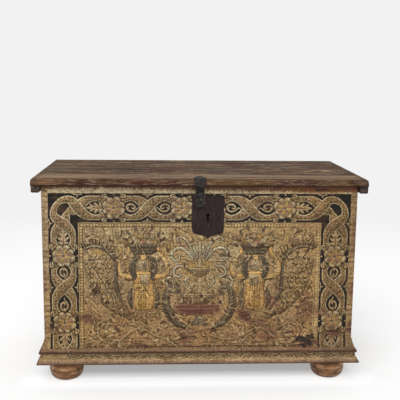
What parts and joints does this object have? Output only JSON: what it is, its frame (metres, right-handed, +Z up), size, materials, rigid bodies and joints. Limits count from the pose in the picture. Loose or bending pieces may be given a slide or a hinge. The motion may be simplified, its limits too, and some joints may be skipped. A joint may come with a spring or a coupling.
{
  "type": "painted cassone chest",
  "caption": "Low rectangular dovetailed plank chest with painted front, hinged cleated lid, hasp and plate lock, moulded plinth and turned bun feet.",
  "frame": {"origin": "on the floor, at the centre of the overall box", "axes": "+X to the right seen from the front, +Y from the front to the back, +Z up"},
  "size_m": [1.25, 0.6638, 0.8076],
  "materials": {
    "painted_front": "worn distemper paint in cream, ochre and black on wood",
    "painted_side": "worn cream distemper paint on wood",
    "painted_moulding": "worn painted scroll on cream ground",
    "weathered_lid": "weathered grey-brown wood with remains of paint",
    "turned_foot": "waxed walnut brown",
    "bare_wood": "bare aged softwood",
    "wrought_iron": "forged black iron, lightly rusted",
    "lock_iron": "dark red-brown rusted iron"
  },
  "bodies": {
    "chest": {"back_lower_board": "bare_wood", "back_upper_board": "bare_wood", "bearer_nails": "wrought_iron", "bolt_guides": "lock_iron", "bottom_nails": "wrought_iron", "bottom_plank_1": "bare_wood", "bottom_plank_2": "bare_wood", "bottom_plank_3": "bare_wood", "cove_front": "painted_moulding", "cove_left": "painted_moulding", "cove_right": "painted_moulding", "front_left_foot": "turned_foot", "front_lower_board": "painted_front", "front_right_foot": "turned_foot", "front_upper_board": "painted_front", "hinge_leaf_left": "wrought_iron", "hinge_leaf_right": "wrought_iron", "hinge_pin_left": "wrought_iron", "hinge_pin_right": "wrought_iron", "key_ward": "lock_iron", "leaf_nails": "wrought_iron", "left_bearer": "bare_wood", "left_lower_board": "painted_side", "left_upper_board": "painted_side", "lock_case": "lock_iron", "lock_nails": "wrought_iron", "lock_plate": "lock_iron", "lock_spring": "lock_iron", "plinth_front": "painted_moulding", "plinth_left": "painted_moulding", "plinth_right": "painted_moulding", "rear_left_foot": "turned_foot", "rear_right_foot": "turned_foot", "right_bearer": "bare_wood", "right_lower_board": "painted_side", "right_upper_board": "painted_side"},
    "lid": {"hinge_strap_left": "wrought_iron", "hinge_strap_right": "wrought_iron", "lid_front_plank": "weathered_lid", "lid_left_cleat": "weathered_lid", "lid_middle_plank": "weathered_lid", "lid_rear_plank": "weathered_lid", "lid_right_cleat": "weathered_lid", "hasp_leaf": "wrought_iron", "hasp_pin": "wrought_iron", "hasp_nails": "wrought_iron", "cleat_nails": "wrought_iron", "strap_nails": "wrought_iron"},
    "hasp": {"hasp_strap": "wrought_iron", "hasp_staple": "wrought_iron"},
    "bolt": {"lock_bolt": "lock_iron"}
  },
  "joints": [
    {"name": "lid_hinge", "type": "hinge", "parent": "chest", "child": "lid", "pos_m": [0, 0.3254, 0.7789], "axis": [-1, 0, 0], "range_deg": [0, 105]},
    {"name": "hasp_hinge", "type": "hinge", "parent": "lid", "child": "hasp", "pos_m": [-0.004, -0.3269, 0.7804], "axis": [-1, 0, 0], "range_deg": [0, 175]},
    {"name": "bolt_slide", "type": "slide", "parent": "chest", "child": "bolt", "axis": [-1, 0, 0], "range_m": [0, 0.013]}
  ]
}
